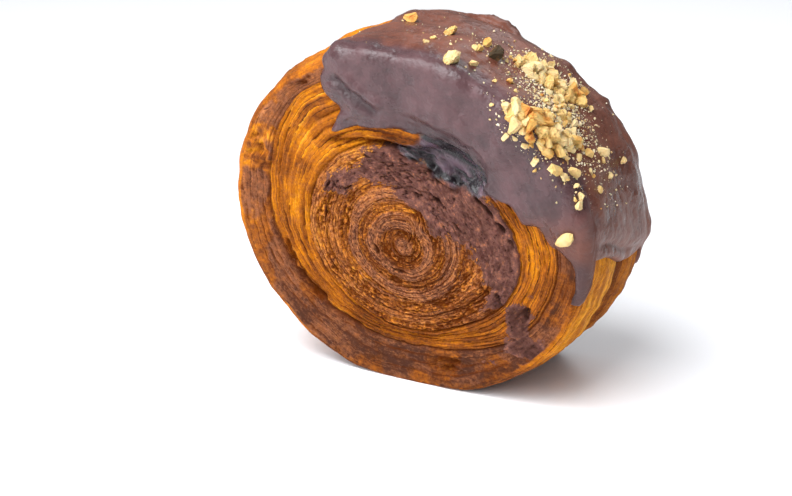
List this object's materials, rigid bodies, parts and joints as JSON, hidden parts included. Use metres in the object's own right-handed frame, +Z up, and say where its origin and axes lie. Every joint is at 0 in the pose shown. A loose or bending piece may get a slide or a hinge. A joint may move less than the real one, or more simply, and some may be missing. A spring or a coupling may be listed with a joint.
{
  "type": "rolled croissant",
  "caption": "Round rolled croissant standing on its rim, laminated dough wound in a spiral, its upper side dipped in dark chocolate and strewn with chopped nuts.",
  "frame": {"origin": "middle of the small flat on the rim that the roll stands on", "axes": "+Z up, the spiral face looks along -Y, +X to the right seen from that face"},
  "size_m": [0.1095, 0.0593, 0.1042],
  "materials": {
    "crust": "browned flaky crust, matte",
    "chocolate": "set dark chocolate, satin"
  },
  "bodies": {
    "root": {"pastry": "crust", "chocolate_coat": "chocolate"}
  },
  "joints": []
}
